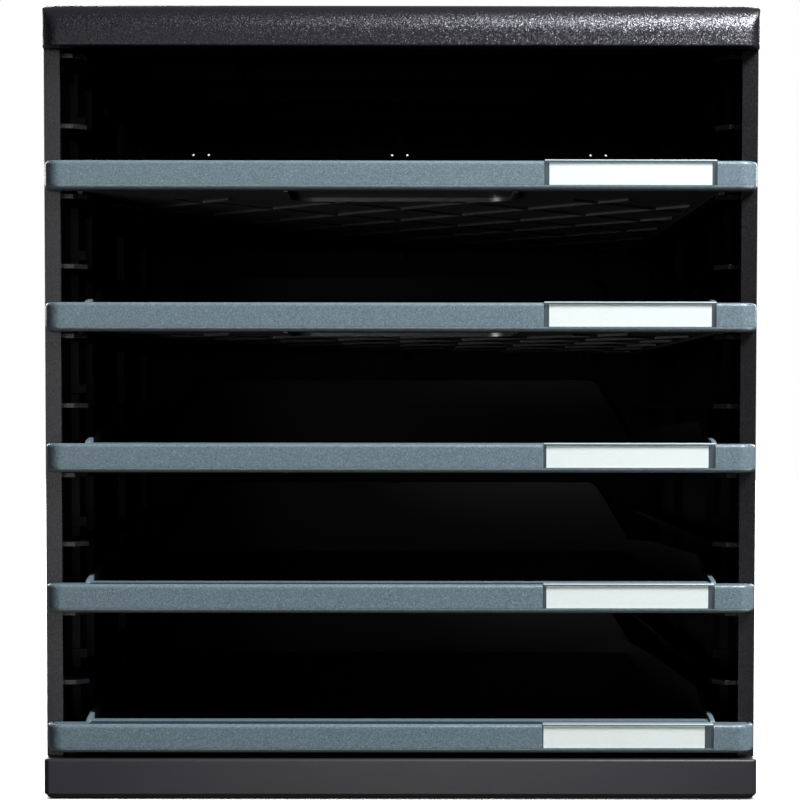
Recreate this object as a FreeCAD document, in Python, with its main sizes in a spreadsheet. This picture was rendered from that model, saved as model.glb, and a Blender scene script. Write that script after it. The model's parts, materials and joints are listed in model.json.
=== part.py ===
import FreeCAD, Part
import os
import re
import Sketcher

# Desk drawer module: an open-fronted casing with five shallow trays that slide out
# towards -Y. Millimetres, +Z up, +X to the right of someone who faces the drawer fronts.
# Every piece is drawn in a frame whose y is the distance behind the plane of the drawer
# fronts, and is then placed so that the origin is the middle of the footprint.

DIMENSIONS = {
    # Whole object
    "width": (290, "over the top cover and the plinth"),
    "height": (322, "from the desk to the top face"),
    "depth": (347, "from the nose of the cover to the back"),
    "front_gap": (1.5, "setback of the drawer fronts behind the nose of the cover"),
    # Stack of drawers
    "drawers": (5, "number of drawers"),
    "pitch": (57, "from one drawer to the next"),
    "first_drawer": (19, "underside of the lowest drawer front above the desk"),
    "travel": (260, "how far a drawer comes out before its stop"),
    # Top cover
    "cover_height": (17.9, "height of the cover's skirt"),
    "cover_skin": (2.5, "wall of the cover"),
    "nose_wall": (7, "wall behind the rounded nose"),
    "nose_radius": (12, "rounding of the nose"),
    "cover_edge": (4.5, "rounding of the cover's ends"),
    "cover_rib": (7.5, "depth of the ribs under the cover"),
    "rear_notch": (2.5, "how much shorter the rear skirt is"),
    "brace_near": (20, "reach of the inner corner braces under the cover"),
    "brace_far": (40, "reach of the outer corner braces under the cover"),
    # Plinth and feet
    "plinth_top": (16.6, "top face of the plinth above the desk"),
    "plinth_skin": (2.5, "wall of the plinth"),
    "plinth_corner": (2.5, "rounding of the plinth's upright corners"),
    "plinth_round": (1.2, "rounding of the plinth's top edge"),
    "plinth_chamfer": (1.9, "chamfer of the plinth's bottom edge"),
    "foot_proud": (0.5, "how far the feet stand out below the plinth"),
    "foot_size": (14, "diameter of a foot"),
    "foot_thick": (2, "thickness of a foot"),
    "foot_boss": (18, "diameter of the boss that holds a foot"),
    "foot_inset": (24, "centre of a foot in from the sides, front and back"),
    "over": (1, "how far a cutter runs past a face"),
    # Side panels
    "panel_inset": (0.2, "outer face in from the cover's edge"),
    "panel_skin": (3, "wall of a side panel"),
    "panel_front": (8, "front edge behind the drawer fronts"),
    "panel_back": (343.5, "rear edge behind the drawer fronts"),
    "strip_width": (6.5, "width of the front edge strip"),
    "strip_depth": (3, "depth of the front edge strip"),
    "return_width": (10, "width of the flange that holds the back panel"),
    "rail_edge": (129, "inner edge of the rails from the middle"),
    "rail_thick": (1.9, "thickness of a rail"),
    "rail_drop": (0.5, "top of a rail below the drawer front's underside"),
    "rail_start": (14, "front end of the rails"),
    "rail_nose": (5, "rounding of a rail's front end"),
    "stud_width": (3.5, "how far the upright ribs stand in from the wall"),
    "stud_1": (57, "first upright rib, behind the drawer fronts"),
    "stud_2": (98, "second upright rib"),
    "stud_3": (207, "third upright rib"),
    "stud_4": (300, "last upright rib"),
    "rib": (2, "thickness of the stiffening ribs"),
    "stop_edge": (135, "inner edge of a stop from the middle"),
    "stop_height": (4, "height of a stop"),
    "stop_length": (3, "length of a stop"),
    "stop_gap": (0.8, "gap between a sliding flange and the stop over it"),
    "tongue": (2.4, "thickness of a locating tongue"),
    "tongue_length": (30, "length of a locating tongue"),
    "tongue_inset": (20, "first tongue in from the panel's front edge"),
    "tongue_bite": (0.4, "how far a tongue is let into the wall it stands on"),
    "tongue_reach": (6, "how far a tongue reaches into the cover or the plinth"),
    "slot_play": (0.4, "play around a tongue in its slot"),
    # Back panel
    "back_front": (338.5, "front face of the back panel"),
    "back_skin": (2.5, "thickness of the back panel"),
    "back_play": (0.5, "play between the back panel and the side walls"),
    "back_top": (307, "top edge of the back panel above the desk"),
    "hook_spacing": (112, "from one snap hook to the next"),
    "hook_width": (5, "width of a snap hook"),
    "hook_top": (313, "top of the snap hooks above the desk"),
    "hook_root": (2, "how far a snap hook runs down into the panel"),
    "relief_hole": (1.3, "diameter of the relief holes beside a hook"),
    "relief_offset": (4.3, "relief hole from the middle of its hook"),
    "relief_height": (302, "relief holes above the desk"),
    "lug_spacing": (106, "from one closing buffer to the next"),
    "lug_width": (5, "width of a closing buffer"),
    "lug_low": (5, "underside of a buffer below its drawer"),
    "lug_gap": (0.5, "gap between a closed tray and its buffers"),
    # Drawer front
    "bar_width": (288.6, "width of a drawer front"),
    "bar_height": (11.7, "height of a drawer front"),
    "bar_depth": (7.5, "thickness of a drawer front"),
    "bar_skin": (2.4, "wall of a drawer front"),
    "bar_end": (4.4, "solid end of a drawer front"),
    "bar_corner": (7, "rounding of a drawer front's ends, seen from above"),
    "bar_top_round": (1.5, "rounding of the front's top edge"),
    "bar_low_round": (2.3, "rounding of the front's bottom edge"),
    "channel": (0.8, "depth of the channel along the top of the front"),
    "rim": (2, "width of the rim in front of the channel"),
    "ledge_front": (9.6, "front edge of the ledge behind the front"),
    "ledge_back": (16, "rear edge of the ledge behind the front"),
    "ledge_half": (129.3, "half the width of the ledge"),
    "ledge_skin": (1.6, "wall of the ledge"),
    "ledge_drop": (0.2, "front edge of the ledge below the front's top"),
    "ledge_lip": (0.2, "rear edge of the ledge above the front's top"),
    "lap": (0.5, "how far the cheeks run into the bar"),
    "cheek_bend": (13.5, "bend in the cheek's top edge"),
    "cheek_rise": (1.8, "that bend above the top of the front"),
    "cheek_round": (5, "rounding of that bend"),
    "cheek_back": (20, "rear end of the cheeks, where the tray's walls begin"),
    # Tray
    "tray_inside": (127, "half the inside width of a tray"),
    "tray_wall": (2, "wall of a tray"),
    "front_play": (0.1, "play around the lip of the tray's front wall"),
    "lip_drop": (0.1, "top of that lip below the top of the front"),
    "floor_low": (1, "underside of the floor above the front's underside"),
    "floor_thick": (2, "thickness of the floor"),
    "flange_half": (137.3, "half the width over the sliding flanges"),
    "flange_front": (11.5, "front end of the sliding flanges"),
    "tray_back": (328, "rear face of a tray"),
    "runner_line": (132, "runner's middle line from the middle of the tray"),
    "runner_width": (2, "width of a runner"),
    "side_front": (11.1, "side wall above the floor where the cheek ends"),
    "side_step": (36, "where the side wall starts to rise"),
    "side_crest": (48, "highest place of the side wall"),
    "side_high": (17.8, "side wall above the floor at that place"),
    "crest_round": (24, "rounding of the side wall's crest"),
    "side_middle": (13.1, "side wall above the floor at its bend"),
    "side_bend": (210, "bend in the side wall's top edge"),
    "side_low": (6.8, "side wall above the floor at the back"),
    "back_high": (39, "rear wall above the floor"),
    "back_slope": (20, "how far the rear wall's slanted sides lean in"),
    "back_round": (8, "rounding of the rear wall's top corners"),
    "tab_inset": (6, "stop tab in front of the tray's rear face"),
    "tab_width": (4, "width of a stop tab"),
    "tab_length": (4, "length of a stop tab"),
    "tab_height": (4.5, "height of a stop tab above the flange"),
    "lattice_pitch": (56.5, "from one lattice rib to the next along the tray"),
    "lattice_first": (30, "where the first rib crosses the middle line"),
    "lattice_rib": (1.5, "width of a lattice rib"),
    "lattice_depth": (1, "depth of the lattice under the floor"),
    "lattice_edge": (1, "plain margin round the lattice"),
    "grip_half": (46, "half the width of the finger recess"),
    "grip_back": (44, "rear edge of the finger recess"),
    "grip_corner": (9, "rounding of the finger recess"),
    "grip_rim": (1.6, "width of the rim round the finger recess"),
    "grip_depth": (1.5, "depth of the finger recess"),
    # Label holder
    "label_left": (57.8, "left end of the label window from the middle"),
    "label_right": (127, "right end of the label window from the middle"),
    "label_low": (1.7, "lower edge of the label window"),
    "label_recess": (1.2, "depth of the label's recess"),
    "label_proud": (0.2, "how far the window stands out of the front"),
    "window_thick": (1.1, "thickness of the window"),
    "window_round": (0.5, "rounding of the window's top front edge"),
    "hook_thick": (0.4, "thickness of the window's hook"),
    "hook_depth": (4.5, "how far the hook reaches over the front"),
    "label_play": (0.2, "play around the window"),
    "card_margin": (1.8, "from the window's ends to the card"),
    "card_low": (0.3, "from the window's lower edge to the card"),
    "card_height": (9, "height of the card"),
    "card_thick": (0.25, "thickness of the card"),
}

doc = FreeCAD.newDocument("drawer_module")
sheet = doc.addObject("Spreadsheet::Sheet", "dims")
for row, (alias, (size, meaning)) in enumerate(DIMENSIONS.items(), start=1):
    sheet.set(f"A{row}", alias)
    sheet.set(f"B{row}", str(size))
    sheet.setAlias(f"B{row}", alias)
    sheet.set(f"C{row}", meaning)
doc.recompute()

parts = []
NEAR = 0.01  # two coordinates closer than this are the same place


def size(alias):
    """Value of one cell, for loop counts and for picking edges."""
    return DIMENSIONS[alias][0]


def bind(obj, prop, text):
    """Bind a property to an expression written with the sheet's aliases."""
    obj.setExpression(prop, re.sub(r"[a-z]\w+", lambda word: "dims." + word.group(), text))


# ---------------------------------------------------------------- modelling helpers

def new_body(name, floor="0"):
    """A body for one sub-part, drawn from the plane of the drawer fronts."""
    body = doc.addObject("PartDesign::Body", name)
    body.Label = name
    bind(body, "Placement.Base.y", "front_gap - depth / 2")
    bind(body, "Placement.Base.z", floor)
    parts.append(body)
    return body


def polygon(corners):
    """Wire maker: a closed polygon whose corners are pairs of sheet expressions."""
    def draw(sketch):
        first = len(sketch.Geometry)
        count = len(corners)
        ring = [FreeCAD.Vector(10, 0, 0)]
        turn = FreeCAD.Rotation(FreeCAD.Vector(0, 0, 1), 360 / count)
        for _ in range(count):
            ring.append(turn.multVec(ring[-1]))
        for start, end in zip(ring, ring[1:]):
            sketch.addGeometry(Part.LineSegment(start, end), False)
        for i in range(count):
            here, after = first + i, first + (i + 1) % count
            sketch.addConstraint(Sketcher.Constraint("Coincident", here, 2, after, 1))
        for i, corner in enumerate(corners):
            for kind, text in zip(("DistanceX", "DistanceY"), corner):
                place = Sketcher.Constraint(kind, -1, 1, first + i, 1, 1.0)
                bind(sketch, f"Constraints[{sketch.addConstraint(place)}]", text)
    return draw


def rectangle(across, along):
    """Wire maker: a rectangle between two (from, to) pairs of expressions."""
    (left, right), (low, high) = across, along
    return polygon([(left, low), (right, low), (right, high), (left, high)])


def circle(centre, diameter):
    """Wire maker: a circle with its centre and diameter as expressions."""
    def draw(sketch):
        index = sketch.addGeometry(Part.Circle(FreeCAD.Vector(), FreeCAD.Vector(0, 0, 1), 1))
        for kind, text in zip(("DistanceX", "DistanceY"), centre):
            place = Sketcher.Constraint(kind, -1, 1, index, 3, 1.0)
            bind(sketch, f"Constraints[{sketch.addConstraint(place)}]", text)
        span = sketch.addConstraint(Sketcher.Constraint("Diameter", index, 1.0))
        bind(sketch, f"Constraints[{span}]", diameter)
    return draw


def prism(body, name, plane, span, *wires, cut=False):
    """Pad or pocket of the wires on an origin plane, over a (from, to) span along its axis."""
    start, end = span
    sketch = body.newObject("Sketcher::SketchObject", name + "_sketch")
    origin = next(f for f in body.Origin.OriginFeatures if f.Role == plane + "_Plane")
    sketch.AttachmentSupport = [(origin, "")]
    sketch.MapMode = "FlatFace"
    # The XZ plane looks towards -Y, so its sketch is set at the far end of the span.
    bind(sketch, "AttachmentOffset.Base.z", f"-({end})" if plane == "XZ" else start)
    for wire in wires:
        wire(sketch)
    feature = body.newObject("PartDesign::Pocket" if cut else "PartDesign::Pad", name)
    feature.Profile = sketch
    feature.Reversed = cut
    bind(feature, "Length", f"({end}) - ({start})")
    body.Tip = feature
    return feature


def repeat(body, feature, axis, count, length):
    """Row of copies of a feature along an axis, the last one at the given distance."""
    row = body.newObject("PartDesign::LinearPattern", feature.Name + "_row")
    row.Originals = [feature]
    row.Direction = (next(f for f in body.Origin.OriginFeatures if f.Role == axis + "_Axis"), [""])
    row.Occurrences = count
    bind(row, "Length", length)
    body.Tip = row
    return row


def round_edges(body, name, radius, wanted, kind="Fillet"):
    """Fillet or chamfer of the edges of the body's tip that pass a test on their points."""
    doc.recompute()
    tip = body.Tip
    found = []
    for index, edge in enumerate(tip.Shape.Edges, start=1):
        points = [edge.valueAt(p) for p in edge.ParameterRange] + [edge.CenterOfMass]
        if all(wanted(point) for point in points):
            found.append(f"Edge{index}")
    rounded = body.newObject("PartDesign::" + kind, name)
    rounded.Base = (tip, found)
    bind(rounded, "Radius" if kind == "Fillet" else "Size", radius)
    body.Tip = rounded
    return rounded


def near(value, target):
    """Whether a coordinate lies at a target place."""
    return abs(value - target) < NEAR


# ---------------------------------------------------------------- top cover

def top_cover():
    """Inverted tray with a rounded nose, ribbed underneath, its flat top good for stacking."""
    body = new_body("top_cover")
    half = size("width") / 2
    nose = -size("front_gap")
    top = size("height")
    low = top - size("cover_height")
    across = ("-width / 2", "width / 2")
    along = ("-front_gap", "depth - front_gap")
    prism(body, "cover_block", "XY", ("height - cover_height", "height"), rectangle(across, along))
    round_edges(body, "nose", "nose_radius", lambda p: near(p.y, nose) and near(p.z, top))
    round_edges(body, "cover_ends", "cover_edge", lambda p: near(abs(p.x), half) and p.z > low + NEAR)
    inner = ("cover_skin - width / 2", "width / 2 - cover_skin")
    room = ("nose_wall - front_gap", "depth - front_gap - cover_skin")
    under = ("height - cover_height", "height - cover_skin")
    prism(body, "hollow", "XY", under, rectangle(inner, room), cut=True)
    notch = ("depth - front_gap - cover_skin - over", "depth - front_gap + over")
    low_span = ("height - cover_height", "height - cover_height + rear_notch")
    prism(body, "rear_notch_cut", "XY", low_span, rectangle(inner, notch), cut=True)
    ribs = ("height - cover_skin - cover_rib", "height - cover_skin")
    lengthwise = rectangle(("-width / 4 - rib / 2", "-width / 4 + rib / 2"), room)
    repeat(body, prism(body, "long_rib", "XY", ribs, lengthwise), "X", 2, "width / 2")
    crosswise = rectangle(inner, ("depth / 5 - rib / 2", "depth / 5 + rib / 2"))
    repeat(body, prism(body, "cross_rib", "XY", ribs, crosswise), "Y", 4, "depth * 3 / 5")
    for side, sign in (("left", "-"), ("right", "")):
        # Two 45 degree braces cut off each front corner.
        for brace, reach in (("near", "brace_near"), ("far", "brace_far")):
            edge = f"{sign}(width / 2 - cover_skin)"
            foot = f"{sign}(width / 2 - cover_skin - {reach})"
            wide = f"{sign}(width / 2 - cover_skin - {reach} - rib)"
            start = "nose_wall - front_gap"
            corners = [(wide, start), (foot, start), (edge, f"{start} + {reach}"),
                       (edge, f"{start} + {reach} + rib")]
            prism(body, f"brace_{side}_{brace}", "XY", ribs, polygon(corners))


# ---------------------------------------------------------------- plinth and feet

FOOT_PLACES = {
    "front_left": ("foot_inset - width / 2", "foot_inset"),
    "front_right": ("width / 2 - foot_inset", "foot_inset"),
    "back_left": ("foot_inset - width / 2", "depth - front_gap - foot_inset"),
    "back_right": ("width / 2 - foot_inset", "depth - front_gap - foot_inset"),
}
TONGUES = 3
TONGUE_START = "panel_front + tongue_inset"
TONGUE_ROW = "panel_back - panel_front - 2 * tongue_inset - tongue_length"


def base_plinth():
    """Ribbed tray that carries the side panels in slots and has a boss for each foot."""
    body = new_body("base_plinth")
    low, top = size("foot_proud"), size("plinth_top")
    across = ("-width / 2", "width / 2")
    along = ("0", "depth - front_gap")
    prism(body, "plinth_block", "XY", ("foot_proud", "plinth_top"), rectangle(across, along))
    round_edges(body, "corners", "plinth_corner", lambda p: low <= p.z <= top
                and near(abs(p.x), size("width") / 2)
                and (near(p.y, 0) or near(p.y, size("depth") - size("front_gap"))))
    round_edges(body, "top_edge", "plinth_round", lambda p: near(p.z, top))
    round_edges(body, "low_edge", "plinth_chamfer", lambda p: near(p.z, low), "Chamfer")
    inner = ("plinth_skin - width / 2", "width / 2 - plinth_skin")
    room = ("plinth_skin", "depth - front_gap - plinth_skin")
    under = ("foot_proud", "plinth_top - plinth_skin")
    prism(body, "hollow", "XY", under, rectangle(inner, room), cut=True)
    ribs = ("plinth_top / 2", "plinth_top - plinth_skin")
    lengthwise = rectangle(("-width / 4 - rib / 2", "-width / 4 + rib / 2"), room)
    repeat(body, prism(body, "long_rib", "XY", ribs, lengthwise), "X", 3, "width / 2")
    crosswise = rectangle(inner, ("depth / 5 - rib / 2", "depth / 5 + rib / 2"))
    repeat(body, prism(body, "cross_rib", "XY", ribs, crosswise), "Y", 4, "depth * 3 / 5")
    bosses = [circle(place, "foot_boss") for place in FOOT_PLACES.values()]
    prism(body, "foot_bosses", "XY", under, *bosses)
    seats = [circle(place, "foot_size + slot_play") for place in FOOT_PLACES.values()]
    prism(body, "foot_seats", "XY", ("foot_proud", "foot_thick"), *seats, cut=True)
    for side, sign in (("left", "-"), ("right", "")):
        across = tongue_span(sign, "slot_play")
        slot = rectangle(across, (f"{TONGUE_START} - slot_play",
                                  f"{TONGUE_START} + tongue_length + slot_play"))
        plate = ("plinth_top - plinth_skin", "plinth_top")
        cutter = prism(body, f"slot_{side}", "XY", plate, slot, cut=True)
        repeat(body, cutter, "Y", TONGUES, TONGUE_ROW)


def feet():
    """Four rubber discs pressed into the plinth's bosses."""
    for name, (across, along) in FOOT_PLACES.items():
        foot = doc.addObject("Part::Cylinder", "foot_" + name)
        foot.Label = "foot_" + name
        bind(foot, "Radius", "foot_size / 2")
        bind(foot, "Height", "foot_thick")
        bind(foot, "Placement.Base.x", across)
        bind(foot, "Placement.Base.y", f"{along} + front_gap - depth / 2")
        parts.append(foot)


# ---------------------------------------------------------------- side panels

STUDS = 4


def mirrored(sign, inner, outer):
    """Span from an inner to an outer distance on the left (-) or the right of the middle."""
    return (f"-({outer})", f"-({inner})") if sign == "-" else (inner, outer)


def tongue_span(sign, play):
    """Width of a locating tongue, which lies against the inside of a side wall."""
    wall = "width / 2 - panel_inset - panel_skin"
    return mirrored(sign, f"{wall} + tongue_bite - tongue - {play}", f"{wall} + tongue_bite + {play}")


def side_panel(side, sign):
    """Side wall with a rail at every half pitch, a stop over each rail, and locating tongues."""
    body = new_body("side_panel_" + side)
    outer = "width / 2 - panel_inset"
    wall = f"{outer} - panel_skin"
    upright = ("plinth_top", "height - cover_height")
    along = ("panel_front", "panel_back")
    prism(body, "wall", "XY", upright, rectangle(mirrored(sign, wall, outer), along))
    strip = rectangle(mirrored(sign, f"{outer} - strip_width", outer),
                      ("panel_front", "panel_front + strip_depth"))
    prism(body, "front_strip", "XY", upright, strip)
    flange = rectangle(mirrored(sign, f"{outer} - return_width", outer),
                       ("back_front + back_skin", "panel_back"))
    prism(body, "rear_return", "XY", upright, flange)
    stud = mirrored(sign, f"{wall} - stud_width", wall)
    for number in range(1, STUDS + 1):
        rib = rectangle(stud, (f"stud_{number} - rib / 2", f"stud_{number} + rib / 2"))
        prism(body, f"upright_rib_{number}", "XY", upright, rib)
    # A rail's front end is cut back at 45 degrees on its free corner.
    edge, slant, root = (f"{sign}({text})" for text in ("rail_edge", "rail_edge + rail_nose", wall))
    corners = [(root, "rail_start"), (slant, "rail_start"), (edge, "rail_start + rail_nose"),
               (edge, "back_front"), (root, "back_front")]
    rail_top = "first_drawer - rail_drop"
    rail = prism(body, "rail", "XY", (f"{rail_top} - rail_thick", rail_top), polygon(corners))
    repeat(body, rail, "Z", 2 * size("drawers") + 1, "drawers * pitch")
    # The tray's tabs meet the rear faces of the stops when a drawer is fully out.
    stop_low = "first_drawer + floor_low + floor_thick + stop_gap"
    stop_rear = "tray_back - tab_inset - tab_length - travel"
    block = rectangle(mirrored(sign, "stop_edge", wall), (f"{stop_rear} - stop_length", stop_rear))
    stop = prism(body, "stop", "XY", (stop_low, f"{stop_low} + stop_height"), block)
    repeat(body, stop, "Z", 2 * size("drawers"), "drawers * pitch - pitch / 2")
    tongue = rectangle(tongue_span(sign, "0"), (TONGUE_START, f"{TONGUE_START} + tongue_length"))
    ends = {"low": ("plinth_top - tongue_reach", "plinth_top + tongue_reach"),
            "high": ("height - cover_height - tongue_reach", "height - cover_height + tongue_reach")}
    for end, span in ends.items():
        pad = prism(body, "tongue_" + end, "XY", span, tongue)
        repeat(body, pad, "Y", TONGUES, TONGUE_ROW)


# ---------------------------------------------------------------- back panel

def back_panel():
    """Thin closed back with three snap hooks, their relief holes, and the closing buffers."""
    body = new_body("back_panel")
    wall = "width / 2 - panel_inset - panel_skin - back_play"
    skin = ("back_front", "back_front + back_skin")
    plate = rectangle((f"-({wall})", wall), ("plinth_top", "back_top"))
    prism(body, "plate", "XZ", skin, plate)
    hook = rectangle(("-hook_spacing - hook_width / 2", "-hook_spacing + hook_width / 2"),
                     ("back_top - hook_root", "hook_top"))
    repeat(body, prism(body, "hook", "XZ", skin, hook), "X", 3, "2 * hook_spacing")
    pair = [circle((f"-hook_spacing {sign} relief_offset", "relief_height"), "relief_hole")
            for sign in "-+"]
    repeat(body, prism(body, "relief", "XZ", skin, *pair, cut=True), "X", 3, "2 * hook_spacing")
    reach = ("tray_back + lug_gap", "back_front")
    for number, column in enumerate(("-lug_spacing", "0 * pitch", "lug_spacing"), start=1):
        across = (f"{column} - lug_width / 2", f"{column} + lug_width / 2")
        crest = "first_drawer + floor_low + floor_thick"
        # The lowest buffer stands on the plinth, so the row starts one drawer higher.
        lowest = rectangle(across, ("plinth_top", crest))
        prism(body, f"lowest_buffer_{number}", "XZ", reach, lowest)
        lug = rectangle(across, ("first_drawer + pitch - lug_low", crest + " + pitch"))
        buffers = prism(body, f"buffer_{number}", "XZ", reach, lug)
        repeat(body, buffers, "Z", size("drawers") - 1, "(drawers - 2) * pitch")


# ---------------------------------------------------------------- drawers

def drawer_floor(number):
    """Height of a drawer front's underside, numbered from the top."""
    return f"first_drawer + (drawers - {number}) * pitch"


def drawer_front(number):
    """Front moulding: hollow bar with rounded ends, channel, ledge and the side cheeks."""
    body = new_body(f"drawer_front_{number}", drawer_floor(number))
    half, high = size("bar_width") / 2, size("bar_height")
    bar = rectangle(("-bar_width / 2", "bar_width / 2"), ("0", "bar_depth"))
    prism(body, "bar", "XY", ("0", "bar_height"), bar)
    round_edges(body, "ends", "bar_corner", lambda p: near(p.y, 0) and near(abs(p.x), half))
    visible = size("bar_depth") - NEAR
    round_edges(body, "top_round", "bar_top_round", lambda p: near(p.z, high) and (
                p.y < visible or abs(p.x) > half - NEAR))
    round_edges(body, "low_round", "bar_low_round", lambda p: near(p.z, 0) and (
                p.y < visible or abs(p.x) > half - NEAR))
    channel = rectangle(("-tray_inside", "tray_inside"), ("rim", "bar_depth"))
    prism(body, "channel_cut", "XY", ("bar_height - channel", "bar_height"), channel, cut=True)
    room = rectangle(("bar_end - bar_width / 2", "bar_width / 2 - bar_end"),
                     ("bar_skin", "bar_height - channel - bar_skin"))
    prism(body, "hollow", "XZ", ("bar_skin", "bar_depth"), room, cut=True)
    floor = "floor_low + floor_thick"
    # The cheeks join the bar to the ledge, with a gap between them for the tray's front wall.
    start = "bar_height - ledge_drop"
    ledge = polygon([("ledge_front", f"{start} - ledge_skin"),
                     ("ledge_back - ledge_skin", "bar_height + ledge_lip - ledge_skin"),
                     ("ledge_back - ledge_skin", floor), ("ledge_back", floor),
                     ("ledge_back", "bar_height + ledge_lip"), ("ledge_front", start)])
    prism(body, "ledge", "YZ", ("-ledge_half", "ledge_half"), ledge)
    cheek = polygon([("bar_depth - lap", floor), ("bar_depth - lap", start),
                     ("ledge_front", start), ("cheek_bend", "bar_height + cheek_rise"),
                     ("cheek_back", f"{floor} + side_front"), ("cheek_back", floor)])
    for side, sign in (("left", "-"), ("right", "")):
        span = mirrored(sign, "tray_inside", "tray_inside + tray_wall")
        prism(body, "cheek_" + side, "YZ", span, cheek)
    bend = size("cheek_bend")
    round_edges(body, "cheek_curve", "cheek_round", lambda p: near(p.y, bend) and p.z > high + NEAR)
    recess = rectangle(("label_left - label_play", "label_right + label_play"),
                       ("label_low - label_play", "bar_height"))
    prism(body, "label_seat", "XZ", ("0", "label_recess"), recess, cut=True)


def lattice_strips(way):
    """Parallel 45 degree ribs, leaning left or right, cut off at the floor's edges."""
    edge, pitch = size("lattice_edge"), size("lattice_pitch")
    side = size("tray_inside") - edge
    front = size("grip_back") + size("grip_rim") + edge
    back = size("tray_back") - size("tray_wall") - edge
    half = size("lattice_rib") / 2 ** 0.5
    strips = []
    # A rib's crossing is where it meets the middle line, extended if need be.
    crossing = size("lattice_first") - side // pitch * pitch
    while crossing < back + side:
        left, right = max(-side, front - crossing), min(side, back - crossing)
        if right - left > 4 * half:
            corners = [(left, crossing + left - half), (right, crossing + right - half),
                       (right, crossing + right + half), (left, crossing + left + half)]
            strips.append(polygon([(str(way * x), str(y)) for x, y in corners]))
        crossing += pitch
    return strips


def drawer_tray(number):
    """Open tray: ribbed floor, sliding flanges, low side walls and a tall rear wall."""
    body = new_body(f"drawer_tray_{number}", drawer_floor(number))
    low, floor = "floor_low", "floor_low + floor_thick"
    outside = "tray_inside + tray_wall"
    plate = rectangle((f"-({outside})", outside), ("bar_depth", "tray_back"))
    prism(body, "floor", "XY", (low, floor), plate)
    # A low block behind the front becomes the rim of the finger recess.
    rim_low = ("floor_low - grip_depth", low)
    block = rectangle(("-grip_half - grip_rim", "grip_half + grip_rim"),
                      ("bar_depth", "grip_back + grip_rim"))
    prism(body, "grip_block", "XY", rim_low, block)
    recess = rectangle(("-grip_half", "grip_half"), ("bar_depth - over", "grip_back"))
    prism(body, "grip_recess", "XY", rim_low, recess, cut=True)
    side, rear = size("grip_half"), size("grip_back")
    rim, sole = size("grip_rim"), size("floor_low") + NEAR
    round_edges(body, "grip_inside", "grip_corner", lambda p: p.z < sole
                and near(abs(p.x), side) and near(p.y, rear))
    round_edges(body, "grip_outside", "grip_corner + grip_rim", lambda p: p.z < sole
                and near(abs(p.x), side + rim) and near(p.y, rear + rim))
    # Flanges that slide on the rails, each with a runner below and a stop tab at the back.
    for side, sign in (("left", "-"), ("right", "")):
        flange = rectangle(mirrored(sign, outside, "flange_half"), ("flange_front", "tray_back"))
        prism(body, "flange_" + side, "XY", (low, floor), flange)
        runner = rectangle(mirrored(sign, "runner_line - runner_width / 2", "runner_line + runner_width / 2"),
                           ("rail_start + rail_nose", "tray_back"))
        prism(body, "runner_" + side, "XY", ("-rail_drop", low), runner)
        tab = rectangle(mirrored(sign, "flange_half - tab_width", "flange_half"),
                        ("tray_back - tab_inset - tab_length", "tray_back - tab_inset"))
        prism(body, "tab_" + side, "XY", (floor, f"{floor} + tab_height"), tab)
        wall = polygon([("cheek_back", floor), ("tray_back", floor),
                        ("tray_back", f"{floor} + side_low"),
                        ("side_bend", f"{floor} + side_middle"),
                        ("side_crest", f"{floor} + side_high"),
                        ("side_step", f"{floor} + side_front"),
                        ("cheek_back", f"{floor} + side_front")])
        prism(body, "side_wall_" + side, "YZ", mirrored(sign, "tray_inside", outside), wall)
    # The front wall stands between the bar and the ledge, and its lip lies in the bar's channel.
    lip = polygon([("bar_depth", floor), ("ledge_front - front_play", floor),
                   ("ledge_front - front_play", "bar_height - lip_drop"),
                   ("rim + front_play", "bar_height - lip_drop"),
                   ("rim + front_play", "bar_height - channel"), ("bar_depth", "bar_height - channel")])
    prism(body, "front_wall", "YZ", ("front_play - tray_inside", "tray_inside - front_play"), lip)
    top = f"{floor} + back_high"
    shoulder = f"{floor} + side_low"
    trapezoid = polygon([(f"-({outside})", floor), (outside, floor), (outside, shoulder),
                         (f"{outside} - back_slope", top), (f"back_slope - ({outside})", top),
                         (f"-({outside})", shoulder)])
    prism(body, "rear_wall", "XZ", ("tray_back - tray_wall", "tray_back"), trapezoid)
    ridge = size("side_crest")
    round_edges(body, "crest_curve", "crest_round", lambda p: near(p.y, ridge))
    crest = size("floor_low") + size("floor_thick") + size("back_high")
    turn = size("tray_inside") + size("tray_wall") - size("back_slope")
    round_edges(body, "rear_round", "back_round",
                lambda p: near(p.z, crest) and near(abs(p.x), turn))
    for way in (-1, 1):
        name = "lattice_left" if way < 0 else "lattice_right"
        prism(body, name, "XY", ("floor_low - lattice_depth", low), *lattice_strips(way))


def label_window(number):
    """Clear holder: a front plate in the recess and a hook over the top of the drawer front."""
    body = new_body(f"label_window_{number}", drawer_floor(number))
    back, top = "window_thick - label_proud", "bar_height + hook_thick"
    profile = polygon([("-label_proud", "label_low"), (back, "label_low"), (back, "bar_height"),
                       ("hook_depth", "bar_height"), ("hook_depth", top), ("-label_proud", top)])
    prism(body, "profile", "YZ", ("label_left", "label_right"), profile)
    crest = size("bar_height") + size("hook_thick")
    round_edges(body, "front_round", "window_round",
                lambda p: near(p.y, -size("label_proud")) and near(p.z, crest))


def label_card(number):
    """Paper card behind the window."""
    card = doc.addObject("Part::Box", f"label_card_{number}")
    card.Label = f"label_card_{number}"
    bind(card, "Length", "label_right - label_left - 2 * card_margin")
    bind(card, "Width", "card_thick")
    bind(card, "Height", "card_height")
    bind(card, "Placement.Base.x", "label_left + card_margin")
    bind(card, "Placement.Base.y", "window_thick - label_proud + front_gap - depth / 2")
    bind(card, "Placement.Base.z", f"{drawer_floor(number)} + label_low + card_low")
    parts.append(card)


# ---------------------------------------------------------------- build, check and write

top_cover()
base_plinth()
feet()
side_panel("left", "-")
side_panel("right", "")
back_panel()
for number in range(1, size("drawers") + 1):
    drawer_front(number)
    drawer_tray(number)
    label_window(number)
    label_card(number)
doc.recompute()

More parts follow.
